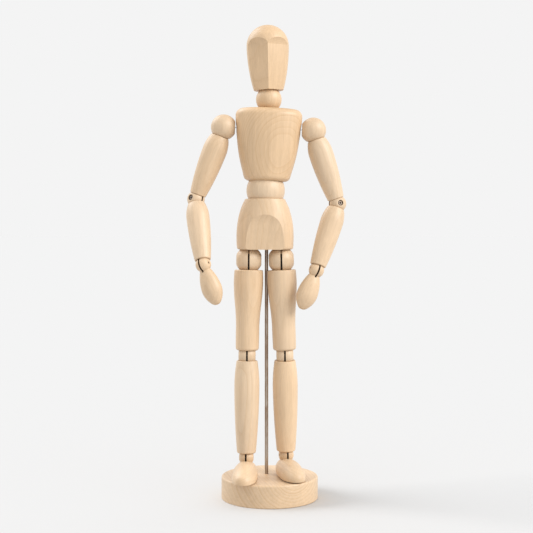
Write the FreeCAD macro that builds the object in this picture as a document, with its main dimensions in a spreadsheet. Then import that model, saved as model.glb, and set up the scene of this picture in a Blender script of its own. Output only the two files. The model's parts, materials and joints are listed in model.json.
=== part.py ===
import FreeCAD, Part
import math
import os
import re

import Sketcher
from FreeCAD import Placement, Rotation, Vector

# Artist's mannequin of turned wood, millimetres, degrees.
# Frame: origin at the centre of the base's underside, +Z up, the figure faces -Y, its own left side is +X.
# Every turned limb is modelled about its own Z axis, with its upper joint centre at the local origin and its
# lower joint centre straight below it. Knuckles and pins have their pin along local X.

SIZES = {
    # base and rod
    "base_radius": 33.7, "base_height": 15.7, "base_edge": 1.3,
    "rod_radius": 1.25, "rod_x": -2.2, "rod_y": 4.6, "rod_foot": 4.0, "rod_top": 186.0, "rod_play": 0.05,
    # play and wall sizes shared by all joints
    "socket_play": 0.2, "slot_width": 1.2, "bore_radius": 2.4, "lead_bore": 1.2,
    "pin_play": 0.03, "pin_radius": 1.3, "pin_core": 0.65, "pin_recess": 0.5, "small_pin_radius": 0.8,
    "small_pin_core": 0.35, "sink_radius": 1.95, "sink_depth": 0.9, "end_gap": 0.1,
    "edge_round": 0.45,
    # springs
    "wire_radius": 0.225, "coil_radius": 1.55, "coil_pitch": 0.42, "loop_play": 0.06, "loop_offset": 0.28,
    "lead_radius": 0.2115, "bar_radius": 0.2025, "bend_radius": 0.234,
    "arm_coil_turns": 14, "leg_coil_turns": 18, "trunk_coil_turns": 12, "chest_coil_turns": 24,
    # heights and offsets of the trunk
    "pelvis_x": -3.2, "pelvis_bottom": 173.8, "waist_x": -2.8, "waist_z": 214.9,
    "waist_radius": 13.35, "neck_rise": 62.9, "neck_radius": 8.9, "chest_bottom": 6.4,
    "chest_lean": 2.0, "head_lean": -3.2, "chest_offset": 0.5,
    "pelvis_pin_z": 192.0, "pelvis_pin_length": 33.0, "pelvis_bore_turn": 40.0,
    "chest_pin_low": 21.0, "chest_pin_high": 49.5, "chest_pin_front": 6.0, "chest_pin_back": 13.4,
    "head_pin_rise": 20.0, "head_pin_front": 4.9, "head_pin_back": 12.4, "head_bore_front": 5.0,
    "trunk_bore_depth": 3.0,
    "chest_round_top": 5.2, "chest_round_bottom": 3.8, "pelvis_round_top": 0.7, "pelvis_round_bottom": 1.7,
    # pelvis facet: distance of the flat in front of the axis at its foot and near its head, then its run-out
    "facet_foot": 11.15, "facet_mid": 12.7, "facet_mid_z": 190.0, "facet_out": 14.9, "facet_out_z": 197.8,
    "facet_curve": 22.0, "facet_clear": 30.0,
    # head
    "head_bottom": 6.3, "head_top": 51.4, "head_radius": 14.65, "chin_radius": 10.5, "chin_round": 0.8,
    "cheek_curve": 118.0, "dome_radius": 14.65, "head_bore": 24.0,
    "face_angle": 33.0, "face_foot": 8.35, "face_mid": 12.05, "face_mid_rise": 36.6, "face_curve": 150.0,
    "face_out": 16.0, "face_out_rise": 43.5, "face_out_curve": 13.0, "face_clear": 22.0,
    # shoulders
    "shoulder_x": 31.1, "shoulder_rise": 42.7, "shoulder_radius": 8.9, "shoulder_flat": 7.8,
    "shoulder_slot_in": 3.4, "shoulder_slot_up": 3.4, "shoulder_pin_front": 5.0, "shoulder_pin_back": 7.6,
    # upper arm
    "upper_arm_span": 53.6, "upper_arm_near": 7.0, "upper_arm_far": 3.6, "upper_arm_top": 6.5,
    "upper_arm_wide": 8.5, "upper_arm_wide_at": 17.5, "upper_arm_end": 5.75, "upper_arm_curve_top": 26.0,
    "upper_arm_curve_low": 198.0,
    # elbow and knee knuckles
    "elbow_radius": 6.1, "elbow_flat": 5.5, "knuckle_web": 3.6, "knee_radius": 6.9, "knee_flat": 5.9,
    # forearm
    "forearm_span": 49.4, "forearm_near": 3.7, "forearm_far": 3.2, "forearm_top": 6.1, "forearm_wide": 8.0,
    "forearm_wide_at": 13.5, "forearm_end": 5.6, "forearm_curve_top": 26.0, "forearm_curve_low": 235.0,
    # hand
    "wrist_radius": 5.3, "wrist_flat": 4.7, "palm_neck": 3.75, "palm_neck_at": 3.6, "palm_wide": 7.3,
    "palm_wide_at": 17.2, "palm_tip": 28.8, "palm_side": 15.2, "palm_side_x": 3.34, "palm_side_at": 27.3,
    "palm_nose": 4.5, "palm_back": 34.0, "palm_thickness": 0.86, "hand_slot_depth": 5.0,
    # hips
    "hip_x": 11.25, "hip_z": 166.6, "hip_radius": 9.4, "hip_flat": 8.7, "hip_slot_up": 4.3,
    # thigh
    "thigh_span": 66.6, "thigh_near": 7.0, "thigh_far": 3.6, "thigh_top": 9.95, "thigh_wide": 10.25,
    "thigh_wide_at": 16.0, "thigh_mid": 9.3, "thigh_mid_at": 30.0, "thigh_low": 8.15, "thigh_low_at": 46.0,
    "thigh_end": 8.05, "thigh_end_round": 1.7,
    "thigh_curve_top": 110.0, "thigh_curve_wide": 150.0, "thigh_curve_mid": 180.0, "thigh_curve_low": 480.0,
    # shin
    "shin_span": 71.0, "shin_near": 3.6, "shin_far": 3.0, "shin_top": 7.35, "shin_wide": 8.75,
    "shin_wide_at": 21.0, "shin_end": 6.65, "shin_end_round": 1.2, "shin_curve_top": 118.0,
    "shin_curve_low": 560.0,
    # foot
    "ankle_radius": 5.4, "ankle_flat": 4.9, "sole_drop": 12.6, "foot_axis_drop": 9.6, "heel": 9.6,
    "heel_radius": 6.9, "heel_at": 3.0, "foot_wide": 8.35, "foot_wide_at": 18.0, "toe": 33.5, "toe_at": 29.9,
    "toe_radius": 5.6, "foot_heel_curve": 9.2, "foot_back_curve": 60.0, "foot_side_curve": 22.0,
    "foot_height": 0.98, "foot_slope": 4.0, "foot_slot_depth": 4.6,
}

# Rest pose. outward: tilt from straight down, away from the middle. forward: tilt towards the viewer, -Y.
POSE = {
    "right": {
        "side": -1, "upper_arm": (21.2, 0.0), "forearm": (-7.8, 23.5), "hand": (-19.5, 3.0),
        "thigh": (1.1, 1.5), "shin": (0.4, 1.5), "foot": 4.0,
    },
    "left": {
        "side": 1, "upper_arm": (18.4, 0.0), "forearm": (-18.2, 12.5), "hand": (-21.0, 2.5),
        "thigh": (2.2, 0.0), "shin": (0.8, -3.5), "foot": 13.0,
    },
}

# Ovals of the two flattened trunk pieces, from the bottom face up.
# Each is its height over that face, its half width and its half depth.
OVALS = {
    "pelvis": [
        (0.0, 19.5, 15.3), (9.0, 19.95, 15.7), (16.5, 19.5, 15.5), (23.5, 18.3, 15.0), (30.3, 16.2, 14.3),
        (35.2, 13.7, 13.3),
    ],
    "chest": [
        (0.0, 15.6, 14.1), (7.7, 17.5, 14.9), (18.7, 20.2, 15.7), (30.7, 21.9, 16.0), (40.7, 22.9, 15.6),
        (50.1, 23.0, 14.6),
    ],
}
for piece, ovals in OVALS.items():
    for number, (rise, half_width, half_depth) in enumerate(ovals, start=1):
        SIZES["%s_rise_%d" % (piece, number)] = rise
        SIZES["%s_half_width_%d" % (piece, number)] = half_width
        SIZES["%s_half_depth_%d" % (piece, number)] = half_depth

DOC = FreeCAD.newDocument("artist_mannequin")
SHEET = DOC.addObject("Spreadsheet::Sheet", "Sizes")
NODES = []


def fill_sheet():
    for row, (alias, size) in enumerate(SIZES.items(), start=1):
        SHEET.set("A%d" % row, alias)
        SHEET.set("B%d" % row, str(size))
        SHEET.setAlias("B%d" % row, alias)
    DOC.recompute()


def bound(text):
    """An expression in which each alias refers to the sheet."""
    return re.sub(r"[a-z]+(?:_[a-z]+)+|toe|heel", lambda word: "Sizes." + word.group(0), text)


def size(text):
    return float(SHEET.evalExpression(bound(text)))


def bind(thing, prop, text):
    thing.setExpression(prop, bound(text))


def keep(thing, label, place=None):
    """Register a finished sub-part under its node name, at its place in the figure."""
    thing.Label = label
    if place is not None:
        thing.Placement = place
    NODES.append(thing)
    return thing


# ---------------------------------------------------------------- sketches and features

def draw(sketch, points):
    """A closed outline. A point is (x, y), or (x, y, radius, side) where an arc starts whose centre lies on
    the left (+1) or right (-1) of the way to the next point."""
    spots = [Vector(size(p[0]), size(p[1]), 0) for p in points]
    ends = []
    for k, point in enumerate(points):
        a = spots[k]
        b = spots[(k + 1) % len(points)]
        if len(point) == 2:
            sketch.addGeometry(Part.LineSegment(a, b))
            ends.append((1, 2))
            continue
        radius, side = size(point[2]), point[3]
        chord = b - a
        left = Vector(-chord.y, chord.x, 0).normalize()
        centre = (a + b) * 0.5 + left * side * math.sqrt(radius ** 2 - (chord.Length / 2) ** 2)
        first, last = (a, b) if side > 0 else (b, a)
        start = math.atan2(first.y - centre.y, first.x - centre.x)
        stop = math.atan2(last.y - centre.y, last.x - centre.x)
        sketch.addGeometry(Part.ArcOfCircle(Part.Circle(centre, Vector(0, 0, 1), radius), start, stop))
        ends.append((1, 2) if side > 0 else (2, 1))
    for k in range(len(points)):
        after = (k + 1) % len(points)
        sketch.addConstraint(Sketcher.Constraint("Coincident", k, ends[k][1], after, ends[after][0]))
    for k, point in enumerate(points):
        for kind, text, number in (("DistanceX", point[0], spots[k].x), ("DistanceY", point[1], spots[k].y)):
            index = sketch.addConstraint(Sketcher.Constraint(kind, -1, 1, k, ends[k][0], number))
            bind(sketch, "Constraints[%d]" % index, text)
        if len(point) == 4:
            index = sketch.addConstraint(Sketcher.Constraint("Radius", k, size(point[2])))
            bind(sketch, "Constraints[%d]" % index, point[2])


def new_body(name):
    return DOC.addObject("PartDesign::Body", name)


def body_sketch(body, plane, points, turn=0.0):
    """A sketch on one of the body's origin planes, turned about the body's Z axis."""
    sketch = body.newObject("Sketcher::SketchObject", body.Name + "_sketch")
    planes = {feature.Role: feature for feature in body.Origin.OriginFeatures}
    sketch.AttachmentSupport = (planes[plane], "")
    sketch.MapMode = "FlatFace"
    sketch.AttachmentOffset = Placement(Vector(), Rotation(Vector(0, 1, 0), turn))
    draw(sketch, points)
    return sketch


def turned(body, points, axis="V_Axis"):
    """Revolve a half section on the XZ plane about the body's Z axis (V_Axis) or X axis (H_Axis)."""
    sketch = body_sketch(body, "XZ_Plane", points)
    feature = body.newObject("PartDesign::Revolution", body.Name + "_turning")
    feature.Profile = sketch
    feature.ReferenceAxis = (sketch, [axis])
    feature.Angle = 360
    DOC.recompute()
    return feature


def pocket(body, plane, points, length, turn=0.0):
    """Cut an outline through the body, as deep on one side of the plane as on the other."""
    before = body.Shape.Volume
    sketch = body_sketch(body, plane, points, turn)
    feature = body.newObject("PartDesign::Pocket", body.Name + "_pocket")
    feature.Profile = sketch
    feature.SideType = "Symmetric"
    bind(feature, "Length", length)
    DOC.recompute()
    if not body.Shape.Volume < before:
        raise RuntimeError(body.Name + ": a pocket cut nothing")
    return feature


def drill(body, plane, radius, length, centre=("0", "0"), one_way=0):
    """A round hole square to an origin plane: both ways, or only towards +normal or -normal."""
    before = body.Shape.Volume
    sketch = body.newObject("Sketcher::SketchObject", body.Name + "_hole_sketch")
    planes = {feature.Role: feature for feature in body.Origin.OriginFeatures}
    sketch.AttachmentSupport = (planes[plane], "")
    sketch.MapMode = "FlatFace"
    x, y = size(centre[0]), size(centre[1])
    sketch.addGeometry(Part.Circle(Vector(x, y, 0), Vector(0, 0, 1), size(radius)))
    for kind, text, number in (("DistanceX", centre[0], x), ("DistanceY", centre[1], y)):
        index = sketch.addConstraint(Sketcher.Constraint(kind, -1, 1, 0, 3, number))
        bind(sketch, "Constraints[%d]" % index, text)
    index = sketch.addConstraint(Sketcher.Constraint("Radius", 0, size(radius)))
    bind(sketch, "Constraints[%d]" % index, radius)
    feature = body.newObject("PartDesign::Pocket", body.Name + "_hole")
    feature.Profile = sketch
    feature.SideType = "Symmetric" if one_way == 0 else "One side"
    feature.Reversed = one_way > 0
    bind(feature, "Length", length)
    DOC.recompute()
    if not body.Shape.Volume < before:
        raise RuntimeError(body.Name + ": a hole cut nothing")
    return feature


def cylinder(name, radius, height, place):
    solid = DOC.addObject("Part::Cylinder", name)
    bind(solid, "Radius", radius)
    bind(solid, "Height", height)
    solid.Placement = place
    return solid


def sphere(name, radius, centre):
    solid = DOC.addObject("Part::Sphere", name)
    bind(solid, "Radius", radius)
    solid.Placement = Placement(centre, Rotation())
    return solid


def joined(name, solids):
    group = DOC.addObject("Part::MultiFuse", name)
    group.Shapes = solids
    return group


def cut(name, base, tools):
    feature = DOC.addObject("Part::Cut", name)
    feature.Base = base
    feature.Tool = joined(name + "_tools", tools)
    return feature


ALONG_X = Rotation(Vector(0, 1, 0), 90)
ALONG_Y = Rotation(Vector(1, 0, 0), -90)


# ---------------------------------------------------------------- directions and frames of the pose

def direction(side, angles):
    outward, forward = (math.radians(angle) for angle in angles)
    return Vector(
        side * math.sin(outward) * math.cos(forward),
        -math.sin(forward),
        -math.cos(outward) * math.cos(forward),
    )


def limb_frame(joint, down, across):
    """Local -Z along down, local X as near to across as that allows."""
    return Placement(joint, Rotation(across, Vector(), down * -1, "ZXY"))


def pin_frame(joint, pin, up):
    """Local X exactly along the pin, local Z as near to up as that allows."""
    return Placement(joint, Rotation(pin, Vector(), up, "XZY"))


def trunk_frame():
    return Placement(
        Vector(size("waist_x"), 0, size("waist_z")), Rotation(Vector(0, 1, 0), size("chest_lean"))
    )


def head_frame():
    neck = trunk_frame().multVec(Vector(0, 0, size("neck_rise")))
    lean = Rotation(Vector(0, 1, 0), size("chest_lean + head_lean"))
    return Placement(neck, lean)


def arm_joints(side_name):
    """Centres, directions and pins of one arm."""
    pose = POSE[side_name]
    side = pose["side"]
    shoulder = trunk_frame().multVec(
        Vector(side * size("shoulder_x") + size("chest_offset"), 0, size("shoulder_rise"))
    )
    upper = direction(side, pose["upper_arm"])
    fore = direction(side, pose["forearm"])
    palm = direction(side, pose["hand"])
    elbow = shoulder + upper * size("upper_arm_span")
    wrist = elbow + fore * size("forearm_span")
    elbow_pin = upper.cross(fore).normalize() * -1
    bend = fore.getAngle(palm)
    across = fore.cross(palm) if bend > math.radians(8) else palm.cross(Vector(0, 1, 0))
    wrist_pin = across.normalize()
    if wrist_pin.x < 0:
        wrist_pin = wrist_pin * -1
    return {
        "side": side, "shoulder": shoulder, "elbow": elbow, "wrist": wrist, "upper": upper, "fore": fore,
        "palm": palm, "shoulder_pin": Vector(0, 1, 0), "elbow_pin": elbow_pin, "wrist_pin": wrist_pin,
    }


def leg_joints(side_name):
    """Centres, directions and pins of one leg."""
    pose = POSE[side_name]
    side = pose["side"]
    hip = Vector(size("pelvis_x") + side * size("hip_x"), 0, size("hip_z"))
    thigh = direction(side, pose["thigh"])
    shin = direction(side, pose["shin"])
    knee = hip + thigh * size("thigh_span")
    ankle = knee + shin * size("shin_span")
    yaw = Rotation(Vector(0, 0, 1), side * pose["foot"])
    return {
        "side": side, "hip": hip, "knee": knee, "ankle": ankle, "thigh": thigh, "shin": shin,
        "hip_pin": thigh.cross(Vector(0, 1, 0)).normalize(),
        "knee_pin": (thigh + shin).cross(Vector(0, 1, 0)).normalize(),
        "ankle_pin": yaw.multVec(Vector(1, 0, 0)), "yaw": yaw,
    }


# ---------------------------------------------------------------- base and rod

def base():
    body = new_body("base")
    turned(body, [
        ("0", "0"),
        ("base_radius - base_edge / 2", "0", "base_edge / 2", 1),
        ("base_radius", "base_edge / 2"),
        ("base_radius", "base_height - base_edge", "base_edge", 1),
        ("base_radius - base_edge", "base_height"),
        ("0", "base_height"),
    ])
    hole = drill(
        body, "XY_Plane", "rod_radius + pin_play", "base_height + 10", ("rod_x", "rod_y"), one_way=1
    )
    hole.Profile[0].AttachmentOffset = Placement(Vector(0, 0, size("rod_foot - end_gap")), Rotation())
    DOC.recompute()
    return keep(body, "base")


def support_rod():
    place = Placement(Vector(size("rod_x"), size("rod_y"), size("rod_foot")), Rotation())
    return keep(cylinder("support_rod", "rod_radius", "rod_top - rod_foot", place), "support_rod")


# ---------------------------------------------------------------- trunk

def oval_block(name):
    """A solid lofted through the piece's ovals."""
    ovals = []
    for number in range(1, len(OVALS[name]) + 1):
        oval = DOC.addObject("Part::Ellipse", "%s_oval_%d" % (name, number))
        bind(oval, "MajorRadius", "%s_half_width_%d" % (name, number))
        bind(oval, "MinorRadius", "%s_half_depth_%d" % (name, number))
        oval.Placement = Placement(Vector(), Rotation(Vector(0, 0, 1), 180))
        bind(oval, "Placement.Base.z", "%s_bottom + %s_rise_%d" % (name, name, number))
        ovals.append(oval)
    loft = DOC.addObject("Part::Loft", name + "_block")
    loft.Sections = ovals
    loft.Solid = True
    loft.Ruled = False
    return loft


def soften(name, block):
    """Round the edges of the block's two end faces."""
    DOC.recompute()
    edges = []
    for number, edge in enumerate(block.Shape.Edges, start=1):
        box = edge.BoundBox
        if box.ZMax - box.ZMin < 0.01:
            end = "bottom" if abs(box.ZMin - size(name + "_bottom")) < 0.1 else "top"
            radius = size("%s_round_%s" % (name, end))
            edges.append((number, radius, radius))
    rounded = DOC.addObject("Part::Fillet", name + "_rounded")
    rounded.Base = block
    rounded.Edges = edges
    return rounded


def pelvis():
    x = size("pelvis_x")
    rounded = soften("pelvis", oval_block("pelvis"))
    facet_outline = DOC.addObject("Sketcher::SketchObject", "pelvis_facet_sketch")
    facing_front = Rotation(Vector(0, -1, 0), Vector(0, 0, 1), Vector(), "XYZ")
    facet_outline.Placement = Placement(Vector(), facing_front)
    draw(facet_outline, [
        ("facet_foot", "pelvis_bottom"),
        ("facet_clear", "pelvis_bottom"),
        ("facet_clear", "facet_out_z"),
        ("facet_out", "facet_out_z", "facet_curve", 1),
        ("facet_mid", "facet_mid_z"),
    ])
    facet = DOC.addObject("Part::Extrusion", "pelvis_facet")
    facet.Base = facet_outline
    facet.DirMode = "Normal"
    facet.Solid = True
    facet.Symmetric = True
    bind(facet, "LengthFwd", "facet_clear * 2")
    pin_z = size("pelvis_pin_z")
    tools = [facet]
    tools.append(sphere(
        "waist_seat_low", "waist_radius + socket_play", Vector(size("waist_x") - x, 0, size("waist_z"))
    ))
    tools.append(cylinder(
        "waist_bore_low", "bore_radius", "waist_z - waist_radius - pelvis_pin_z + trunk_bore_depth + 1",
        Placement(Vector(size("waist_x") - x, 0, pin_z - size("trunk_bore_depth")), Rotation()),
    ))
    for side_name, side in (("right", -1), ("left", 1)):
        hip = Vector(side * size("hip_x"), 0, size("hip_z"))
        tools.append(sphere(side_name + "_hip_seat", "hip_radius + socket_play", hip))
        tools.append(cylinder(
            side_name + "_hip_bore", "bore_radius", "pelvis_pin_z + trunk_bore_depth - hip_z",
            Placement(hip, Rotation()),
        ))
    tools.append(cylinder(
        "rod_bore", "rod_radius + rod_play", "rod_top - pelvis_bottom + 1.2",
        Placement(Vector(size("rod_x") - x, size("rod_y"), size("pelvis_bottom") - 1), Rotation()),
    ))
    tools.append(cylinder(
        "pelvis_pin_bore", "pin_radius + pin_play", "pelvis_pin_length + 5",
        Placement(
            Vector(-size("pelvis_pin_length") / 2, 0, pin_z),
            ALONG_X * Rotation(Vector(0, 0, 1), size("pelvis_bore_turn")),
        ),
    ))
    return keep(cut("pelvis", rounded, tools), "pelvis", Placement(Vector(x, 0, 0), Rotation()))


def chest():
    rounded = soften("chest", oval_block("chest"))
    rounded.Placement = Placement(Vector(size("chest_offset"), 0, 0), Rotation())
    tools = [
        sphere("waist_seat_high", "waist_radius + socket_play", Vector()),
        sphere("neck_seat_low", "neck_radius + socket_play", Vector(0, 0, size("neck_rise"))),
        cylinder("waist_bore_high", "bore_radius", "chest_pin_low + trunk_bore_depth", Placement()),
        cylinder(
            "neck_bore_low", "bore_radius", "neck_rise - chest_pin_high + trunk_bore_depth",
            Placement(Vector(0, 0, size("chest_pin_high - trunk_bore_depth")), Rotation()),
        ),
        cylinder(
            "shoulder_bore", "bore_radius", "shoulder_x * 2",
            Placement(Vector(size("chest_offset - shoulder_x"), 0, size("shoulder_rise")), ALONG_X),
        ),
    ]
    for rise in ("chest_pin_low", "chest_pin_high"):
        tools.append(cylinder(
            rise + "_bore", "pin_radius + pin_play", "chest_pin_front + chest_pin_back + 6",
            Placement(Vector(0, -size("chest_pin_front"), size(rise)), ALONG_Y),
        ))
    return keep(cut("chest", rounded, tools), "chest", trunk_frame())


def bored_ball(name, radius, place):
    """A ball drilled through along its Z axis for the spring."""
    body = new_body(name)
    reach = "sqrt({0}^2 - bore_radius^2)".format(radius)
    turned(body, [
        ("bore_radius", "-1 * " + reach, radius, 1),
        (radius, "0", radius, 1),
        ("bore_radius", reach),
    ])
    return keep(body, name, place)


def head():
    body = new_body("head")
    seat = "(neck_radius + socket_play)"
    turned(body, [
        ("bore_radius", "sqrt({0}^2 - bore_radius^2)".format(seat), seat, -1),
        ("sqrt({0}^2 - head_bottom^2)".format(seat), "head_bottom"),
        ("chin_radius - chin_round", "head_bottom", "chin_round", 1),
        ("chin_radius", "head_bottom + chin_round", "cheek_curve", 1),
        ("head_radius", "head_top - dome_radius", "dome_radius", 1),
        ("0", "head_top"),
        ("0", "head_bore"),
        ("bore_radius", "head_bore"),
    ])
    for side in (-1, 1):
        pocket(body, "XZ_Plane", [
            ("face_foot", "head_bottom - 1"),
            ("face_clear", "head_bottom - 1"),
            ("face_clear", "face_out_rise"),
            ("face_out", "face_out_rise", "face_out_curve", 1),
            ("face_mid", "face_mid_rise", "face_curve", -1),
        ], "face_clear * 2", turn=-90 + side * size("face_angle"))
    drill(body, "XZ_Plane", "pin_radius + pin_play", "head_radius + 5", ("0", "head_pin_rise"), one_way=-1)
    drill(body, "XZ_Plane", "pin_radius + pin_play", "head_bore_front", ("0", "head_pin_rise"), one_way=1)
    return keep(body, "head", head_frame())


def straight_pin(name, radius, core, length, place):
    """A hollow steel pin along local Z, from the local origin up."""
    outer = cylinder(name + "_rod", radius, length, Placement())
    inner = cylinder(name + "_core", core, length, Placement())
    feature = DOC.addObject("Part::Cut", name)
    feature.Base = outer
    feature.Tool = inner
    return keep(feature, name, place)


def trunk_pins():
    x, z = size("pelvis_x"), size("pelvis_pin_z")
    start = Vector(x - size("pelvis_pin_length") / 2 + size("end_gap"), 0, z)
    straight_pin("pelvis_pin", "pin_radius", "pin_core", "pelvis_pin_length", Placement(start, ALONG_X))
    trunk = trunk_frame()
    for name, rise in (("chest_lower_pin", "chest_pin_low"), ("chest_upper_pin", "chest_pin_high")):
        place = trunk * Placement(Vector(0, size("end_gap - chest_pin_front"), size(rise)), ALONG_Y)
        straight_pin(name, "pin_radius", "pin_core", "chest_pin_front + chest_pin_back", place)
    place = head_frame() * Placement(Vector(0, -size("head_pin_front"), size("head_pin_rise")), ALONG_Y)
    straight_pin("head_pin", "pin_radius", "pin_core", "head_pin_back + head_pin_front", place)


# ---------------------------------------------------------------- knuckles and their pins

def half_bead(body, radius, flat):
    """A ball cut flat at its -X end only, turned about the body's X axis."""
    turned(body, [
        ("-1 * " + flat, "0"),
        ("-1 * " + flat, "sqrt({0}^2 - {1}^2)".format(radius, flat), radius, -1),
        ("0", radius, radius, -1),
        (radius, "0"),
    ], "H_Axis")


def bead(body, radius, flat):
    """A ball cut flat at both X ends, turned about the body's X axis."""
    rim = "sqrt({0}^2 - {1}^2)".format(radius, flat)
    turned(body, [
        ("-1 * " + flat, "0"),
        ("-1 * " + flat, rim, radius, -1),
        ("0", radius, radius, -1),
        (flat, rim),
        (flat, "0"),
    ], "H_Axis")


def sunk_bead(body, radius, flat):
    """A bead with a wider, shallow round hole in each flat, where the pin's ends lie."""
    rim = "sqrt({0}^2 - {1}^2)".format(radius, flat)
    floor = "({0} - sink_depth)".format(flat)
    turned(body, [
        ("-1 * " + floor, "0"),
        ("-1 * " + floor, "sink_radius"),
        ("-1 * " + flat, "sink_radius"),
        ("-1 * " + flat, rim, radius, -1),
        ("0", radius, radius, -1),
        (flat, rim),
        (flat, "sink_radius"),
        (floor, "sink_radius"),
        (floor, "0"),
    ], "H_Axis")


def knuckle(name, radius, flat, place):
    """The loose ball of an elbow or knee: one slot open at the top, front and bottom, and a pin across."""
    body = new_body(name)
    sunk_bead(body, radius, flat)
    edge = radius + " + 1"
    pocket(body, "YZ_Plane", [
        ("-1 * (%s)" % edge, "-1 * (%s)" % edge), ("knuckle_web", "-1 * (%s)" % edge),
        ("knuckle_web", edge), ("-1 * (%s)" % edge, edge),
    ], "slot_width")
    drill(body, "YZ_Plane", "pin_radius + pin_play", "{0} * 3".format(radius))
    return keep(body, name, place)


def cross_pin(name, flat, place, radius="pin_radius", core="pin_core"):
    """A hollow pin along local X, its ends a little below the flats."""
    half = "({0} - pin_recess)".format(flat)
    shift = Placement(Vector(-size(half), 0, 0), ALONG_X)
    return straight_pin(name, radius, core, half + " * 2", place * shift)


def shoulder_ball(name, side, place):
    """Local X points away from the chest. The slot faces down and outward; the pin hole opens at the back."""
    body = new_body(name)
    half_bead(body, "shoulder_radius", "shoulder_flat")
    edge = "(shoulder_radius + 1)"
    pocket(body, "XZ_Plane", [
        ("-1 * shoulder_slot_in", "-1 * " + edge), (edge, "-1 * " + edge), (edge, "shoulder_slot_up"),
        ("-1 * shoulder_slot_in", "shoulder_slot_up"),
    ], "slot_width")
    drill(body, "YZ_Plane", "lead_bore", "shoulder_radius", one_way=-1)
    back = -side
    drill(body, "XZ_Plane", "pin_radius + pin_play", "shoulder_radius + 2", one_way=back)
    drill(body, "XZ_Plane", "pin_radius + pin_play", "shoulder_pin_front", one_way=-back)
    return keep(body, name, place)


def hip_ball(name, place):
    """The slot is open at the bottom and front; a drilling from the top lets the pelvis spring in."""
    body = new_body(name)
    bead(body, "hip_radius", "hip_flat")
    edge = "(hip_radius + 1)"
    pocket(body, "YZ_Plane", [
        ("-1 * " + edge, "-1 * " + edge), ("knuckle_web", "-1 * " + edge),
        ("knuckle_web", "hip_slot_up"), ("-1 * " + edge, "hip_slot_up"),
    ], "slot_width")
    drill(body, "XY_Plane", "lead_bore", "hip_radius + 1", one_way=1)
    drill(body, "YZ_Plane", "pin_radius + pin_play", "hip_radius * 3")
    return keep(body, name, place)


# ---------------------------------------------------------------- turned limbs

def seat_arc(radius, at):
    """The two ends of a hollow seat: at its rim on the end face, and at the bore."""
    rim = "sqrt(({0} + socket_play)^2 - {1}^2)".format(radius, at)
    deep = "sqrt(({0} + socket_play)^2 - bore_radius^2)".format(radius)
    return rim, deep


def upper_arm(name, place):
    body = new_body(name)
    top_rim, top_deep = seat_arc("shoulder_radius", "upper_arm_near")
    low_rim, low_deep = seat_arc("elbow_radius", "upper_arm_far")
    turned(body, [
        ("bore_radius", "-1 * " + top_deep, "shoulder_radius + socket_play", 1),
        (top_rim, "-1 * upper_arm_near"),
        ("upper_arm_top - edge_round", "-1 * upper_arm_near", "edge_round", -1),
        ("upper_arm_top", "-1 * (upper_arm_near + edge_round)", "upper_arm_curve_top", -1),
        ("upper_arm_wide", "-1 * upper_arm_wide_at", "upper_arm_curve_low", -1),
        ("upper_arm_end", "-1 * (upper_arm_span - upper_arm_far - edge_round)", "edge_round", -1),
        ("upper_arm_end - edge_round", "-1 * (upper_arm_span - upper_arm_far)"),
        (low_rim, "-1 * (upper_arm_span - upper_arm_far)", "elbow_radius + socket_play", 1),
        ("bore_radius", "-1 * upper_arm_span + " + low_deep),
    ])
    return keep(body, name, place)


def forearm(name, place):
    body = new_body(name)
    top_rim, top_deep = seat_arc("elbow_radius", "forearm_near")
    low_rim, low_deep = seat_arc("wrist_radius", "forearm_far")
    turned(body, [
        ("bore_radius", "-1 * " + top_deep, "elbow_radius + socket_play", 1),
        (top_rim, "-1 * forearm_near"),
        ("forearm_top - edge_round", "-1 * forearm_near", "edge_round", -1),
        ("forearm_top", "-1 * (forearm_near + edge_round)", "forearm_curve_top", -1),
        ("forearm_wide", "-1 * forearm_wide_at", "forearm_curve_low", -1),
        ("forearm_end", "-1 * (forearm_span - forearm_far - edge_round * 2)", "edge_round * 2", -1),
        ("forearm_end - edge_round * 2", "-1 * (forearm_span - forearm_far)"),
        (low_rim, "-1 * (forearm_span - forearm_far)", "wrist_radius + socket_play", 1),
        ("bore_radius", "-1 * forearm_span + " + low_deep),
    ])
    return keep(body, name, place)


def thigh(name, place):
    body = new_body(name)
    top_rim, top_deep = seat_arc("hip_radius", "thigh_near")
    low_rim, low_deep = seat_arc("knee_radius", "thigh_far")
    turned(body, [
        ("bore_radius", "-1 * " + top_deep, "hip_radius + socket_play", 1),
        (top_rim, "-1 * thigh_near"),
        ("thigh_top - edge_round * 2", "-1 * thigh_near", "edge_round * 2", -1),
        ("thigh_top", "-1 * (thigh_near + edge_round * 2)", "thigh_curve_top", -1),
        ("thigh_wide", "-1 * thigh_wide_at", "thigh_curve_wide", -1),
        ("thigh_mid", "-1 * thigh_mid_at", "thigh_curve_mid", 1),
        ("thigh_low", "-1 * thigh_low_at", "thigh_curve_low", -1),
        ("thigh_end", "-1 * (thigh_span - thigh_far - thigh_end_round)", "thigh_end_round", -1),
        ("thigh_end - thigh_end_round", "-1 * (thigh_span - thigh_far)"),
        (low_rim, "-1 * (thigh_span - thigh_far)", "knee_radius + socket_play", 1),
        ("bore_radius", "-1 * thigh_span + " + low_deep),
    ])
    return keep(body, name, place)


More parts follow.
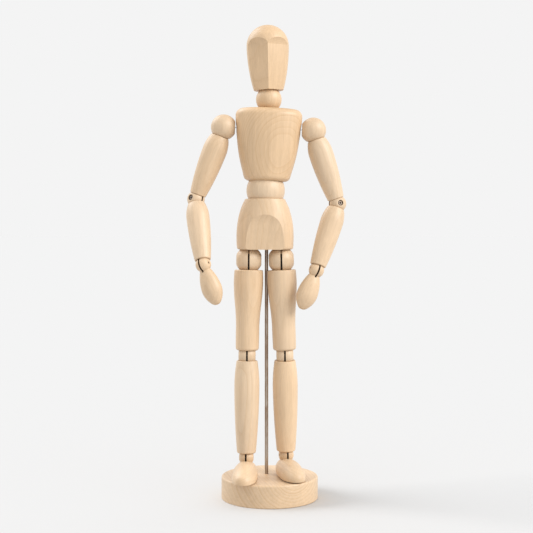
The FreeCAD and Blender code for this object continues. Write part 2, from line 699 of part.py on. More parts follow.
def shin(name, place):
    body = new_body(name)
    top_rim, top_deep = seat_arc("knee_radius", "shin_near")
    low_rim, low_deep = seat_arc("ankle_radius", "shin_far")
    turned(body, [
        ("bore_radius", "-1 * " + top_deep, "knee_radius + socket_play", 1),
        (top_rim, "-1 * shin_near"),
        ("shin_top - edge_round", "-1 * shin_near", "edge_round", -1),
        ("shin_top", "-1 * (shin_near + edge_round)", "shin_curve_top", -1),
        ("shin_wide", "-1 * shin_wide_at", "shin_curve_low", -1),
        ("shin_end", "-1 * (shin_span - shin_far - shin_end_round)", "shin_end_round", -1),
        ("shin_end - shin_end_round", "-1 * (shin_span - shin_far)"),
        (low_rim, "-1 * (shin_span - shin_far)", "ankle_radius + socket_play", 1),
        ("bore_radius", "-1 * shin_span + " + low_deep),
    ])
    return keep(body, name, place)


# ---------------------------------------------------------------- hands and feet

def end_knuckle(name, radius, flat):
    """The knuckle that is one piece with a hand or foot, before it is joined to it."""
    body = new_body(name + "_knuckle")
    bead(body, radius, flat)
    return body


def squeezed(name, body, factor_y, factor_z):
    """The turned body pressed flat: no feature scales a solid unevenly, so its shape is transformed."""
    scale = FreeCAD.Matrix()
    scale.scale(1, factor_y, factor_z)
    feature = DOC.addObject("Part::Feature", name)
    feature.Shape = body.Shape.transformGeometry(scale)
    return feature


def slot_tools(name, radius, depth, pin_radius):
    """A slot open at the top and front, and the cross hole of its pin."""
    box = DOC.addObject("Part::Box", name + "_slot")
    bind(box, "Length", "slot_width")
    bind(box, "Width", "{0} * 1.6 + 1".format(radius))
    bind(box, "Height", "{0} + 1 + {1}".format(radius, depth))
    box.Placement = Placement(
        Vector(-size("slot_width") / 2, -size(radius) - 1, -size(depth)), Rotation()
    )
    hole = cylinder(
        name + "_pin_hole", pin_radius + " + pin_play", radius + " * 3",
        Placement(Vector(-size(radius) * 1.5, 0, 0), ALONG_X),
    )
    return [box, hole]


def hand(name, place):
    palm = new_body(name + "_palm_turning")
    turned(palm, [
        ("0", "-1 * palm_neck_at"),
        ("palm_neck", "-1 * palm_neck_at", "palm_back", -1),
        ("palm_wide", "-1 * palm_wide_at", "palm_side", -1),
        ("palm_side_x", "-1 * palm_side_at", "palm_nose", -1),
        ("0", "-1 * palm_tip"),
    ])
    flat_palm = squeezed(name + "_palm", palm, size("palm_thickness"), 1)
    bead_body = end_knuckle(name, "wrist_radius", "wrist_flat")
    whole = joined(name + "_blank", [flat_palm, bead_body])
    tools = slot_tools(name, "wrist_radius", "hand_slot_depth", "small_pin_radius")
    return keep(cut(name, whole, tools), name, place)


def foot(name, place):
    """Local -Y points to the toes. The egg-shaped turning is flattened a little and planed at the sole."""
    egg = new_body(name + "_turning")
    turned(egg, [
        ("0", "-1 * toe", "(toe_radius^2 + (toe - toe_at)^2) / (2 * (toe - toe_at))", 1),
        ("toe_radius", "-1 * toe_at", "foot_side_curve", 1),
        ("foot_wide", "-1 * foot_wide_at", "foot_back_curve", 1),
        ("heel_radius", "heel_at", "foot_heel_curve", 1),
        ("0", "heel"),
    ])
    pressed = squeezed(name + "_egg", egg, size("foot_height"), 1)
    tip = Rotation(Vector(1, 0, 0), -90 + size("foot_slope"))
    pressed.Placement = Placement(Vector(0, 0, -size("foot_axis_drop")), tip)
    bead_body = end_knuckle(name, "ankle_radius", "ankle_flat")
    whole = joined(name + "_blank", [pressed, bead_body])
    sole = DOC.addObject("Part::Box", name + "_sole")
    for prop in ("Length", "Width", "Height"):
        bind(sole, prop, "toe * 3")
    sole.Placement = Placement(
        Vector(-size("toe") * 1.5, -size("toe") * 1.5, -size("toe") * 3 - size("sole_drop")), Rotation()
    )
    tools = slot_tools(name, "ankle_radius", "foot_slot_depth", "small_pin_radius") + [sole]
    return keep(cut(name, whole, tools), name, place)


# ---------------------------------------------------------------- springs

def coil(name, turns, centre_z):
    """A close-wound coil as a ribbed tube: each rib is one turn of wire."""
    body = new_body(name + "_coil")
    waist = "sqrt(wire_radius^2 - (coil_pitch / 2)^2)"
    low = "{0} - coil_pitch * {1} / 2".format(centre_z, turns)
    high = low + " + coil_pitch"
    rib = turned(body, [
        ("coil_radius + " + waist, low, "wire_radius", 1),
        ("coil_radius + " + waist, high),
        ("coil_radius - wire_radius", high),
        ("coil_radius - wire_radius", low),
    ])
    pattern = body.newObject("PartDesign::LinearPattern", name + "_turns")
    pattern.Originals = [rib]
    pattern.Direction = (rib.Profile[0], ["V_Axis"])
    bind(pattern, "Occurrences", turns)
    bind(pattern, "Length", "coil_pitch * ({0} - 1)".format(turns))
    body.Tip = pattern
    DOC.recompute()
    return body


def spring_end(name, joint_z, coil_z, offset, turn, pin_radius):
    """A straight lead from the coil to a closed loop round a pin, beside the slot's middle by offset."""
    sense = 1 if joint_z > coil_z else -1
    loop_radius = "({0} + loop_play + wire_radius)".format(pin_radius)
    spin = Placement(Vector(), Rotation(Vector(0, 0, 1), turn))
    loop = DOC.addObject("Part::Torus", name + "_loop")
    bind(loop, "Radius1", loop_radius)
    bind(loop, "Radius2", "wire_radius")
    loop.Placement = spin * Placement(Vector(offset, 0, joint_z), ALONG_X)
    start = min(joint_z - sense * size(loop_radius), coil_z)
    length = abs(joint_z - sense * size(loop_radius) - coil_z)
    lead = DOC.addObject("Part::Cylinder", name + "_lead")
    bind(lead, "Radius", "lead_radius")
    lead.Height = length
    lead.Placement = spin * Placement(Vector(offset, 0, start), Rotation())
    bend = DOC.addObject("Part::Sphere", name + "_bend")
    bind(bend, "Radius", "bend_radius")
    bend.Placement = spin * Placement(Vector(offset, 0, coil_z), Rotation())
    bar = DOC.addObject("Part::Cylinder", name + "_bar")
    bind(bar, "Radius", "bar_radius")
    bind(bar, "Height", "sqrt(coil_radius^2 - loop_offset^2)")
    bar.Placement = spin * Placement(Vector(offset, 0, coil_z), ALONG_Y)
    return [loop, lead, bend, bar]


def spring(name, place, turns, top_z, bottom_z, centre_z, top, bottom):
    """A tension spring along local Z. top and bottom are (offset, turn of the loop, pin radius)."""
    half = size(turns) / 2 * size("coil_pitch") - size("coil_pitch") / 2
    pieces = [coil(name, turns, str(centre_z))]
    pieces += spring_end(name + "_top", top_z, centre_z + half, *top)
    pieces += spring_end(name + "_bottom", bottom_z, centre_z - half, *bottom)
    return keep(joined(name, pieces), name, place)


def twist(place, pin):
    """How far a pin is turned from the frame's X axis, about the frame's Z axis."""
    local = place.Rotation.inverted().multVec(pin)
    return math.degrees(math.atan2(local.y, local.x))


def trunk_springs():
    offset = size("loop_offset")
    trunk = trunk_frame()
    low = size("pelvis_pin_z - waist_z") / math.cos(math.radians(size("chest_lean")))
    spring("waist_spring", trunk, "trunk_coil_turns", size("chest_pin_low"), low, 0.0,
           (0.0, 90.0, "pin_radius"), (0.0, 0.0, "pin_radius"))
    chest_pin = trunk.multVec(Vector(0, 0, size("chest_pin_high")))
    head_pin = head_frame().multVec(Vector(0, 0, size("head_pin_rise")))
    neck = limb_frame(head_pin, (chest_pin - head_pin).normalize(), Vector(1, 0, 0))
    reach = head_pin.distanceToPoint(chest_pin)
    spring("neck_spring", neck, "trunk_coil_turns", 0.0, -reach, -size("head_pin_rise"),
           (0.0, 90.0, "pin_radius"), (0.0, 90.0, "pin_radius"))
    across = trunk * Placement(Vector(size("chest_offset"), 0, size("shoulder_rise")), ALONG_X)
    reach = size("shoulder_x")
    spring("shoulder_spring", across, "chest_coil_turns", reach, -reach, 0.0,
           (offset, 90.0, "pin_radius"), (offset, 90.0, "pin_radius"))


# ---------------------------------------------------------------- whole limbs

def arm(side_name):
    joints = arm_joints(side_name)
    side = joints["side"]
    offset = size("loop_offset")
    tilt = trunk_frame().Rotation
    ball_rotation = tilt if side > 0 else tilt * Rotation(Vector(0, 0, 1), 180)
    ball_place = Placement(joints["shoulder"], ball_rotation)
    shoulder_ball(side_name + "_shoulder_ball", side, ball_place)
    pin_direction = ALONG_Y if side > 0 else ALONG_Y.inverted()
    pin_front = Vector(0, -side * size("shoulder_pin_front - end_gap"), 0)
    pin_start = ball_place * Placement(pin_front, pin_direction)
    straight_pin(side_name + "_shoulder_pin", "pin_radius", "pin_core",
                 "shoulder_pin_front + shoulder_pin_back - end_gap", pin_start)
    upper_place = limb_frame(joints["shoulder"], joints["upper"], joints["shoulder_pin"])
    upper_arm(side_name + "_upper_arm", upper_place)
    reach = size("upper_arm_span")
    spring(side_name + "_upper_arm_spring", upper_place, "arm_coil_turns", 0.0, -reach, -reach / 2,
           (-offset, 0.0, "pin_radius"), (offset, twist(upper_place, joints["elbow_pin"]), "pin_radius"))
    elbow_up = (joints["upper"] + joints["fore"]) * -1
    elbow_pin = joints["elbow_pin"]
    elbow_place = pin_frame(joints["elbow"], elbow_pin, elbow_up)
    knuckle(side_name + "_elbow_knuckle", "elbow_radius", "elbow_flat", elbow_place)
    cross_pin(side_name + "_elbow_pin", "elbow_flat", elbow_place)
    fore_place = limb_frame(joints["elbow"], joints["fore"], elbow_pin)
    forearm(side_name + "_forearm", fore_place)
    reach = size("forearm_span")
    spring(side_name + "_forearm_spring", fore_place, "arm_coil_turns", 0.0, -reach, -reach / 2,
           (-offset, 0.0, "pin_radius"), (0.0, twist(fore_place, joints["wrist_pin"]), "small_pin_radius"))
    hand_place = limb_frame(joints["wrist"], joints["palm"], joints["wrist_pin"])
    hand(side_name + "_hand", hand_place)
    cross_pin(side_name + "_wrist_pin", "wrist_flat", hand_place, "small_pin_radius", "small_pin_core")


def leg(side_name):
    joints = leg_joints(side_name)
    offset = size("loop_offset")
    hip_place = pin_frame(joints["hip"], joints["hip_pin"], Vector(0, 0, 1))
    hip_ball(side_name + "_hip_ball", hip_place)
    cross_pin(side_name + "_hip_pin", "hip_flat", hip_place)
    rise = size("pelvis_pin_z - hip_z")
    upright = Placement(joints["hip"], Rotation())
    spring(side_name + "_hip_spring", upright, "trunk_coil_turns", rise, 0.0, rise - 9.0,
           (0.0, 0.0, "pin_radius"), (offset, 0.0, "pin_radius"))
    thigh_place = limb_frame(joints["hip"], joints["thigh"], joints["hip_pin"])
    thigh(side_name + "_thigh", thigh_place)
    reach = size("thigh_span")
    spring(side_name + "_thigh_spring", thigh_place, "leg_coil_turns", 0.0, -reach, -reach / 2,
           (-offset, 0.0, "pin_radius"), (offset, 0.0, "pin_radius"))
    knee_place = pin_frame(joints["knee"], joints["knee_pin"], Vector(0, 0, 1))
    knuckle(side_name + "_knee_knuckle", "knee_radius", "knee_flat", knee_place)
    cross_pin(side_name + "_knee_pin", "knee_flat", knee_place)
    shin_place = limb_frame(joints["knee"], joints["shin"], joints["knee_pin"])
    shin(side_name + "_shin", shin_place)
    reach = size("shin_span")
    spring(side_name + "_shin_spring", shin_place, "leg_coil_turns", 0.0, -reach, -reach / 2,
           (-offset, 0.0, "pin_radius"), (0.0, twist(shin_place, joints["ankle_pin"]), "small_pin_radius"))
    foot_place = Placement(joints["ankle"], joints["yaw"])
    foot(side_name + "_foot", foot_place)
    cross_pin(side_name + "_ankle_pin", "ankle_flat", foot_place, "small_pin_radius", "small_pin_core")


# ---------------------------------------------------------------- the whole figure

def check_document():
    DOC.recompute()
    for thing in DOC.Objects:
        if "Invalid" in thing.State or "Error" in thing.State:
            raise RuntimeError("%s failed: %s" % (thing.Label, thing.State))
    for node in NODES:
        if node.Shape.isNull() or not node.Shape.isValid():
            raise RuntimeError(node.Label + " has no valid shape")
        if len(node.Shape.Solids) != 1:
            raise RuntimeError("%s is %d solids" % (node.Label, len(node.Shape.Solids)))


def write_steps():
    os.makedirs("parts", exist_ok=True)
    for node in NODES:
        node.Shape.exportStep(os.path.join("parts", node.Label + ".step"))
    print(len(NODES), "parts written")


fill_sheet()
base()
support_rod()
pelvis()
bored_ball("waist_ball", "waist_radius", Placement(Vector(size("waist_x"), 0, size("waist_z")), Rotation()))
chest()
bored_ball("neck_ball", "neck_radius", trunk_frame() * Placement(Vector(0, 0, size("neck_rise")), Rotation()))
head()
trunk_pins()
trunk_springs()
for name in POSE:
    arm(name)
    leg(name)
check_document()
write_steps()
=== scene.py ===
import json
import math

import bpy
from mathutils import Matrix, Vector

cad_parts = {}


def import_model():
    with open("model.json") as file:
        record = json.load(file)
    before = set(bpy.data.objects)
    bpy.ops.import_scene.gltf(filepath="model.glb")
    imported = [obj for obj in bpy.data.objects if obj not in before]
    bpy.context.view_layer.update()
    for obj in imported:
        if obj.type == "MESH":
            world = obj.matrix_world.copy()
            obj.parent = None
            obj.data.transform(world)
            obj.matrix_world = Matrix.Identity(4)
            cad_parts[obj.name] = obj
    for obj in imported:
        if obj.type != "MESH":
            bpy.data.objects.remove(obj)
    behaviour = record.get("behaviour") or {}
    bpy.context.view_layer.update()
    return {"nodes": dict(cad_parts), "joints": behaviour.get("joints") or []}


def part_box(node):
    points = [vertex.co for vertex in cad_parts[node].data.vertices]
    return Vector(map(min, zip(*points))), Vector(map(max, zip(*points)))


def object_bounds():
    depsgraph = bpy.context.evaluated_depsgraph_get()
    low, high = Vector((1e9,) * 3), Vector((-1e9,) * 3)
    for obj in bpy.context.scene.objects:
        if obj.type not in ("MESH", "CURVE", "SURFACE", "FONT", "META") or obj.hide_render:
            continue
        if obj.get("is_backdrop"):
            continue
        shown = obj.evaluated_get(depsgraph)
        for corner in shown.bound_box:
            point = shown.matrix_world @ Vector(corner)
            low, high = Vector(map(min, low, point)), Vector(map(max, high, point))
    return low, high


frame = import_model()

MM = 0.001
NODES = frame["nodes"]
JOINTS = {joint["name"]: joint for joint in frame["joints"]}
UP = Vector((0, 0, 1))
FRONT = Vector((0, -1, 0))

# Colours are linear RGB.
PALE_WOOD = (0.695, 0.530, 0.365)
HONEY_WOOD = (0.695, 0.475, 0.275)
LATE_WOOD = (0.55, 0.345, 0.170)
END_GRAIN = (0.44, 0.270, 0.130)
# colour of the painted shade in the slots and pin holes
SLOT_SHADE = (0.13, 0.070, 0.032)
STEEL_LIGHT = (0.57, 0.525, 0.475)
STEEL_DARK = (0.22, 0.180, 0.145)
# steel darkened with painted shade, for pin ends that sit in drilled holes
STEEL_SHADED = (0.33, 0.285, 0.245)
TARNISH = (0.27, 0.155, 0.085)
FLOOR_GREY = 0.74

BACKDROP = 0.905
FLOOR_HALF = 60.0
FLOOR_SUN_ELEVATION = 24

CAMERA_PLACE = (-0.0022, -0.7653, 0.1854)
CAMERA_PITCH = 1.755
CAMERA_LENS = 74.2
CAMERA_SENSOR = 36.0


# ------------------------------------------------------------ node helpers

class Nodes:
    """Adds shader nodes to one material and wires them with short calls."""

    def __init__(self, name):
        self.material = bpy.data.materials.new(name)
        self.material.use_nodes = True
        self.tree = self.material.node_tree
        self.tree.nodes.clear()
        self.output = self.tree.nodes.new("ShaderNodeOutputMaterial")

    def add(self, kind, **settings):
        node = self.tree.nodes.new("ShaderNode" + kind)
        for key, setting in settings.items():
            setattr(node, key, setting)
        return node

    def feed(self, socket, source):
        if hasattr(source, "is_output"):
            self.tree.links.new(source, socket)
        else:
            socket.default_value = source

    def maths(self, operation, *sources):
        node = self.add("Math", operation=operation)
        for socket, source in zip(node.inputs, sources):
            self.feed(socket, source)
        return node.outputs[0]

    def axes(self, position):
        node = self.add("SeparateXYZ")
        self.feed(node.inputs[0], position)
        return node.outputs

    def vector(self, operation, *sources):
        node = self.add("VectorMath", operation=operation)
        for socket, source in zip(node.inputs, sources):
            self.feed(socket, source)
        return node.outputs["Value" if operation in ("LENGTH", "DOT_PRODUCT") else "Vector"]

    def noise(self, position, scale, detail=2.0, roughness=0.5, stretch=(1, 1, 1), shift=(0, 0, 0)):
        """Noise from 0 to 1. Scale is in features per millimetre, and stretch divides it along an axis."""
        place = self.add("Mapping", vector_type="POINT")
        self.feed(place.inputs["Vector"], position)
        place.inputs["Scale"].default_value = [1.0 / s for s in stretch]
        place.inputs["Location"].default_value = shift
        node = self.add("TexNoise", noise_dimensions="3D")
        self.feed(node.inputs["Vector"], place.outputs[0])
        node.inputs["Scale"].default_value = scale
        node.inputs["Detail"].default_value = detail
        node.inputs["Roughness"].default_value = roughness
        return node.outputs[0]

    def ramp(self, source, *stops):
        """Piecewise curve through (position, value) stops."""
        node = self.add("ValToRGB")
        elements = node.color_ramp.elements
        while len(elements) < len(stops):
            elements.new(0.5)
        for element, (position, value) in zip(elements, stops):
            element.position = position
            element.color = (value, value, value, 1)
        self.feed(node.inputs[0], source)
        return node.outputs["Color"]

    def blend(self, factor, first, second):
        node = self.add("Mix", data_type="RGBA")
        self.feed(node.inputs["Factor"], factor)
        for socket, source in ((node.inputs["A"], first), (node.inputs["B"], second)):
            self.feed(socket, source if hasattr(source, "is_output") else (*source, 1))
        return node.outputs["Result"]

    def tint(self, colour, brightness):
        """Multiply a colour by a grey factor."""
        node = self.add("Mix", data_type="RGBA", blend_type="MULTIPLY")
        node.inputs["Factor"].default_value = 1
        self.feed(node.inputs["A"], colour)
        self.feed(node.inputs["B"], brightness)
        return node.outputs["Result"]

    def local(self, place):
        """Position in the piece's own frame, in millimetres, and the surface's normal in that frame."""
        coordinates = self.add("TexCoord")
        found = []
        origin = place.to_translation()
        for name, location, scale in (("Object", origin, MM), ("Normal", (0, 0, 0), 1)):
            node = self.add("Mapping", vector_type="TEXTURE")
            self.feed(node.inputs["Vector"], coordinates.outputs[name])
            node.inputs["Location"].default_value = location
            node.inputs["Rotation"].default_value = place.to_euler()
            node.inputs["Scale"].default_value = (scale, scale, scale)
            found.append(node.outputs[0])
        return found


def frame_at(origin, along, across=None):
    """A frame with Z along the grain and X as near to across as that allows."""
    z = Vector(along).normalized()
    x = Vector(across or (1, 0, 0))
    x = (x - z * x.dot(z)).normalized()
    y = z.cross(x)
    return Matrix.Translation(Vector(origin)) @ Matrix((x, y, z)).transposed().to_4x4()


# ------------------------------------------------------------ wood

# one year's growth: pale early wood, then darker late wood that ends sharply
RING_PROFILE = ((0.0, 0.15), (0.08, 0.0), (0.55, 0.22), (0.86, 0.62), (0.95, 1.0), (1.0, 0.15))


def year_rings(n, position, pith, spacing, seed, shift, curl, wander):
    """Darkness of the year rings, from 0 to 1: the distance from the pith, made uneven."""
    x, y, z = n.axes(position)
    strength, rise, sideways = curl
    dx = n.maths("SUBTRACT", x, pith[0])
    dy = n.maths("SUBTRACT", y, pith[1])
    squares = n.maths("ADD", n.maths("MULTIPLY", dx, dx), n.maths("MULTIPLY", dy, dy))
    radius = n.maths("SQRT", squares)

    climb = n.maths("SUBTRACT", z, rise)
    across = n.maths("MULTIPLY", n.maths("MULTIPLY", x, x), sideways)
    bow = n.maths("ADD", n.maths("MULTIPLY", climb, climb), across)
    radius = n.maths("ADD", radius, n.maths("MULTIPLY", bow, strength))

    drift = n.noise(position, 0.045, 2.0, 0.5, (1, 1, 3.5), shift)
    radius = n.maths("ADD", radius, n.maths("MULTIPLY", drift, wander))
    years = n.maths("DIVIDE", radius, spacing)
    uneven = n.noise(n.maths("MULTIPLY", radius, 0.33), 1.0, 1.0, 0.5, (1, 1, 1), shift)
    years = n.maths("ADD", years, uneven)
    ring = n.ramp(n.maths("FRACT", years), *RING_PROFILE)
    faded = n.maths("MULTIPLY", radius, 0.16)
    strong = n.noise(faded, 1.0, 1.0, 0.5, (1, 1, 1), (seed * 3.1, 0, 0))
    return n.maths("MULTIPLY", ring, n.ramp(strong, (0.3, 0.25), (0.7, 1.0)))


def paint_slot_shade(n, colour, slot, shift):
    """Painted shade: darken the walls of a slot and of the pin hole along the X axis of the slot's frame.
    """
    slot_frame, half_width, reach, hole_radius = slot
    spot, _ = n.local(slot_frame)
    inside = n.maths("LESS_THAN", n.maths("ABSOLUTE", n.axes(spot)[0]), half_width)
    near = n.maths("LESS_THAN", n.vector("LENGTH", spot), reach)
    shaded = n.maths("MULTIPLY", inside, near)
    from_pin = n.vector("LENGTH", n.vector("MULTIPLY", spot, (0, 1, 1)))
    shaded = n.maths("MAXIMUM", shaded, n.maths("LESS_THAN", from_pin, hole_radius))
    # the painted shade is patchy, not flat
    shade_noise = n.noise(spot, 1.2, 2.0, 0.5, (1, 1, 1), shift)
    darkness = n.maths("MULTIPLY", shaded, n.ramp(shade_noise, (0.3, 0.82), (0.7, 1.0)))
    return n.blend(darkness, colour, SLOT_SHADE)


def wood(name, place, pith, spacing, seed, honey, figure=1.0, curl=(0.0, 0.0, 0.0),
         slot=None, wander=6.0, thirst=1.0):
    """Sanded pale wood. The pith is the (X, Y) of the tree's centre in the piece's frame, and spacing is
    a year's growth in millimetres. Honey is how yellow the board is, figure how strong its rings are,
    wander how uneven they are and thirst how dark the end grain is. The curl bows the rings along the
    piece: (strength, height of the bow, sideways part). A slot is (frame, half width, reach, radius of the
    pin hole), and its walls and pin hole get painted shade."""
    n = Nodes(name)
    position, normal = n.local(place)
    shift = (seed * 17.3, seed * 5.1, seed * 31.7)
    ring = year_rings(n, position, pith, spacing, seed, shift, curl, wander)

    # fibres run along the grain, with short pores and a broad unevenness of tone
    fibre = n.noise(position, 2.6, 4.0, 0.62, (1, 1, 38), shift)
    pores = n.noise(position, 5.5, 2.0, 0.5, (1, 1, 16), shift)
    pores = n.ramp(pores, (0.60, 0.0), (0.70, 1.0))
    cloud = n.noise(position, 0.055, 3.0, 0.55, (1, 1, 2.2), shift)
    streak = n.noise(position, 0.5, 3.0, 0.55, (1, 1, 22), shift)

    board = [pale * (1 - honey) + yellow * honey for pale, yellow in zip(PALE_WOOD, HONEY_WOOD)]
    colour = n.blend(n.maths("MULTIPLY", ring, 0.34 * figure), board, LATE_WOOD)
    colour = n.tint(colour, n.ramp(fibre, (0.3, 0.90), (0.7, 1.04)))
    colour = n.tint(colour, n.ramp(streak, (0.3, 0.93), (0.7, 1.03)))
    colour = n.tint(colour, n.ramp(cloud, (0.3, 0.93), (0.7, 1.03)))
    colour = n.blend(n.maths("MULTIPLY", pores, 0.20), colour, LATE_WOOD)

    # faces square to the grain drink the varnish and turn darker
    squareness = n.maths("ABSOLUTE", n.vector("DOT_PRODUCT", normal, (0, 0, 1)))
    end = n.ramp(squareness, (0.55, 0.0), (0.97, 1.0))
    speckle = n.noise(position, 4.0, 3.0, 0.6, (1, 1, 1), shift)
    end = n.maths("MULTIPLY", end, n.ramp(speckle, (0.3, 0.42 * thirst), (0.7, 0.22 * thirst)))
    colour = n.blend(end, colour, END_GRAIN)
    # painted shade on the walls of the slot and in the pin hole
    if slot is not None:
        colour = paint_slot_shade(n, colour, slot, shift)

    height = n.maths("ADD", n.maths("MULTIPLY", fibre, 0.6), n.maths("MULTIPLY", pores, -0.5))
    height = n.maths("ADD", height, n.maths("MULTIPLY", ring, 0.25))
    bump = n.add("Bump")
    bump.inputs["Strength"].default_value = 0.16
    bump.inputs["Distance"].default_value = 0.12 * MM
    n.feed(bump.inputs["Height"], height)

    shader = n.add("BsdfPrincipled")
    n.feed(shader.inputs["Base Color"], colour)
    n.feed(shader.inputs["Roughness"], n.ramp(fibre, (0.25, 0.40), (0.75, 0.52)))
    n.feed(shader.inputs["Normal"], bump.outputs[0])
    shader.inputs["Specular IOR Level"].default_value = 0.42
    shader.inputs["Coat Weight"].default_value = 0.14
    shader.inputs["Coat Roughness"].default_value = 0.34
    n.feed(n.output.inputs["Surface"], shader.outputs[0])
    return n.material


# ------------------------------------------------------------ steel

def steel(name, place, seed, bright=STEEL_LIGHT):
    """Drawn wire: fine lines along the piece, and a thin brown tarnish in patches."""
    n = Nodes(name)
    position, _ = n.local(place)
    lines = n.noise(position, 9.0, 3.0, 0.6, (1, 1, 60), (seed, 0, 0))
    patches = n.noise(position, 0.35, 3.0, 0.6, (1, 1, 3), (seed, 3, 0))
    colour = n.blend(n.ramp(lines, (0.35, 0.0), (0.65, 0.55)), bright, STEEL_DARK)
    colour = n.blend(n.ramp(patches, (0.40, 0.0), (0.66, 0.60)), colour, TARNISH)
    bump = n.add("Bump")
    bump.inputs["Strength"].default_value = 0.2
    bump.inputs["Distance"].default_value = 0.03 * MM
    n.feed(bump.inputs["Height"], lines)
    shader = n.add("BsdfPrincipled")
    shader.inputs["Metallic"].default_value = 1.0
    n.feed(shader.inputs["Base Color"], colour)
    n.feed(shader.inputs["Roughness"], n.ramp(patches, (0.3, 0.27), (0.7, 0.45)))
    n.feed(shader.inputs["Normal"], bump.outputs[0])
    n.feed(n.output.inputs["Surface"], shader.outputs[0])
    return n.material


# ------------------------------------------------------------ each piece's own grain

def centre(node):
    low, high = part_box(node)
    return (low + high) / 2


def pivot(joint):
    return Vector(JOINTS[joint]["pos_m"])


def axis(joint):
    return Vector(JOINTS[joint]["axis"])


def paint(node, material):
    materials = NODES[node].data.materials
    materials.clear()
    materials.append(material)


trunk_axis = axis("neck_turn")
waist = pivot("waist_turn")
neck = pivot("neck_turn")

base_grain = frame_at((0.0106, 0, 0.021), (0.22, -1, 0.10), UP)
pelvis_grain = frame_at(centre("pelvis"), UP)
chest_grain = frame_at(waist + Vector((0.007, 0, 0)), trunk_axis)
chest_curl = (-0.012, 24, 0.9)

paint("base", wood("base_wood", base_grain, (0, 0), 2.1, 1.0, 0.35, 2.2, wander=3.5, thirst=0.15))
paint("pelvis", wood("pelvis_wood", pelvis_grain, (30, 46), 2.1, 2.0, 0.45))
paint("waist_ball", wood("waist_wood", frame_at(waist, UP), (-20, 36), 1.8, 3.0, 0.1, 0.8))
paint("chest", wood("chest_wood", chest_grain, (-30, 44), 2.2, 4.0, 0.75, 2.0, chest_curl, wander=5.0))
paint("neck_ball", wood("neck_wood", frame_at(neck, trunk_axis), (18, 30), 1.7, 5.0, 0.7))
paint("head", wood("head_wood", frame_at(neck, UP), (26, 40), 1.6, 6.0, 0.75, 0.8))

# turned limbs: pith, ring spacing, honey on the right and on the left
LIMBS = {
    "upper_arm": ((22, 34), 1.8, 0.45, 0.1),
    "forearm": ((-26, 38), 1.7, 0.2, 0.35),
    "thigh": ((20, 45), 2.0, 0.5, 0.3),
    "shin": ((-24, 40), 1.9, 0.15, 0.55),
}
# slotted balls: the joint along whose axis the pin lies, the pith, the radius of the painted shade round
# the pin hole
BALLS = {
    "shoulder_ball": ("arm_raise", (9, 20), 0.0),
    "hip_ball": ("leg_swing", (-12, 24), 1.36),
    "elbow_knuckle": ("elbow_upper", (8, 16), 1.98),
    "knee_knuckle": ("knee_upper", (-9, 18), 1.98),
}
TIPS = {"hand": "wrist_bend", "foot": "ankle_bend"}
# how far the painted slot shade reaches: half width in millimetres, share of the ball's height, and
# millimetres at the hands and feet
SLOT_HALF = 0.62
BALL_SLOT_REACH = 0.52
TIP_SLOT_REACH = 5.9


def ball_cut(ball, spot, pin_axis):
    """Frame of a ball's saw cut: it stands upright, but an elbow's faces the front."""
    if ball == "shoulder_ball":
        return frame_at(spot, UP, (0, 1, 0))
    if ball == "elbow_knuckle":
        return frame_at(spot, pin_axis.cross(FRONT), pin_axis)
    return frame_at(spot, UP, pin_axis)


seed = 10.0
for side, sign in (("right_", -1), ("left_", 1)):
    for limb, ((pith_x, pith_y), spacing, right_honey, left_honey) in LIMBS.items():
        seed += 1
        joint = side + limb + "_turn"
        grain = frame_at(pivot(joint), axis(joint))
        pith = (sign * pith_x + seed % 3, pith_y)
        honey = left_honey if sign > 0 else right_honey
        paint(side + limb, wood(side + limb + "_wood", grain, pith, spacing, seed, honey))

    for ball, (joint, pith, hole) in BALLS.items():
        seed += 1
        spot = pivot(side + joint)
        low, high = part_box(side + ball)
        reach = (high.z - low.z) / MM * BALL_SLOT_REACH
        slot = (ball_cut(ball, spot, axis(side + joint)), SLOT_HALF, reach, hole)
        grain = frame_at(spot, UP)
        paint(side + ball, wood(side + ball + "_wood", grain, pith, 1.6, seed, 0.2, 0.8, slot=slot))

    for tip, joint in TIPS.items():
        seed += 1
        spot = pivot(side + joint)
        pin_axis = axis(side + joint)
        along = centre(side + tip) - spot
        if tip == "foot":
            along.z = 0
        slot = (frame_at(spot, pin_axis.cross(along), pin_axis), SLOT_HALF, TIP_SLOT_REACH, 0.0)
        grain = frame_at(spot, along)
        paint(side + tip, wood(side + tip + "_wood", grain, (14 * sign, 26), 1.6, seed, 0.4, slot=slot))

for number, node in enumerate(sorted(NODES)):
    if node == "support_rod":
        paint(node, steel("rod_steel", frame_at((0, 0, 0), UP), 1.0))
    elif node.endswith("_pin"):
        # the pins get darker steel: painted shade where their ends sit in the drilled holes
        paint(node, steel(node + "_steel", frame_at(centre(node), UP), float(number), STEEL_SHADED))
    elif node.endswith("_spring"):
        paint(node, steel(node + "_steel", frame_at(centre(node), UP), float(number)))


# ------------------------------------------------------------ floor, light and camera

def floor_material():
    n = Nodes("floor_paper")
    shader = n.add("BsdfDiffuse")
    shader.inputs["Color"].default_value = (FLOOR_GREY, FLOOR_GREY, FLOOR_GREY, 1)
    n.feed(n.output.inputs["Surface"], shader.outputs[0])
    return n.material


def floor():
    """A flat sheet of pale paper, large enough to run into the equally bright backdrop."""
    half = FLOOR_HALF
    mesh = bpy.data.meshes.new("floor")
    corners = [(-half, -half, 0), (half, -half, 0), (half, half, 0), (-half, half, 0)]
    mesh.from_pydata(corners, [], [(0, 1, 2, 3)])
    mesh.materials.append(floor_material())
    sheet = bpy.data.objects.new("floor", mesh)
    bpy.context.scene.collection.objects.link(sheet)
    sheet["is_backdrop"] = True
    return sheet


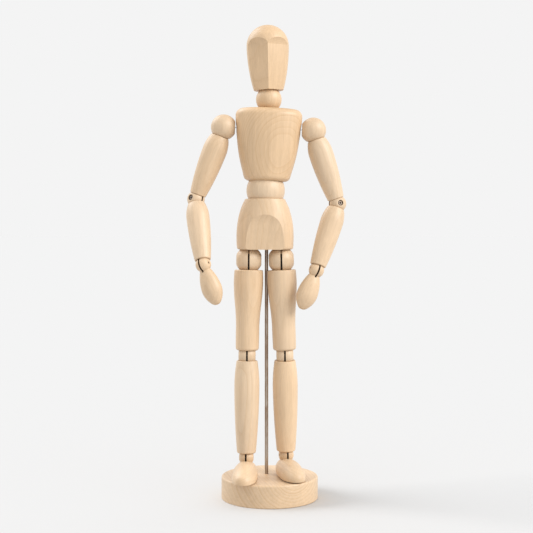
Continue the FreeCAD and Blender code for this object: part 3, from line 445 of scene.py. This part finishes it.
def sun(name, azimuth, elevation, irradiance, softness):
    """Light from far away. Azimuth is counted from the viewer's side towards +X, and softness is the
    light's apparent width, all in degrees."""
    light = bpy.data.lights.new(name, "SUN")
    light.energy = irradiance
    light.angle = math.radians(softness)
    lamp = bpy.data.objects.new(name, light)
    a, e = math.radians(azimuth), math.radians(elevation)
    towards = Vector((math.sin(a) * math.cos(e), -math.cos(a) * math.cos(e), math.sin(e)))
    lamp.rotation_euler = towards.to_track_quat("Z", "Y").to_euler()
    bpy.context.scene.collection.objects.link(lamp)
    return lamp


def limit(lamp, state, thing):
    """The lamp lights nothing but the thing (INCLUDE), or everything but the thing (EXCLUDE)."""
    lit = bpy.data.collections.new(lamp.name + "_lit")
    lit.objects.link(thing)
    lit.collection_objects[0].light_linking.link_state = state
    lamp.light_linking.receiver_collection = lit


def camera():
    """A long lens just below the figure's waist, looking down slightly."""
    lens = bpy.data.cameras.new("camera")
    lens.sensor_width = CAMERA_SENSOR
    lens.lens = CAMERA_LENS
    shot = bpy.data.objects.new("camera", lens)
    shot.location = CAMERA_PLACE
    shot.rotation_euler = (math.radians(90 - CAMERA_PITCH), 0, 0)
    bpy.context.scene.collection.objects.link(shot)
    bpy.context.scene.camera = shot


def world():
    sky = bpy.data.worlds.new("studio")
    sky.use_nodes = True
    background = sky.node_tree.nodes["Background"]
    background.inputs["Color"].default_value = (1, 1, 1, 1)
    background.inputs["Strength"].default_value = BACKDROP
    bpy.context.scene.world = sky


sheet = floor()
# the floor comes out as bright as the backdrop: the sky gives one part, a low sun from the left the rest
slant = math.sin(math.radians(FLOOR_SUN_ELEVATION))
floor_light = BACKDROP * (1 / FLOOR_GREY - 1) * math.pi / slant
limit(sun("floor_left", -93, FLOOR_SUN_ELEVATION, floor_light, 44), "INCLUDE", sheet)
limit(sun("back_left", -125, 42, 1.6, 40), "EXCLUDE", sheet)
limit(sun("key_right", 62, 32, 2.4, 35), "EXCLUDE", sheet)
world()
camera()
bpy.context.scene.view_settings.view_transform = "Standard"

low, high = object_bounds()
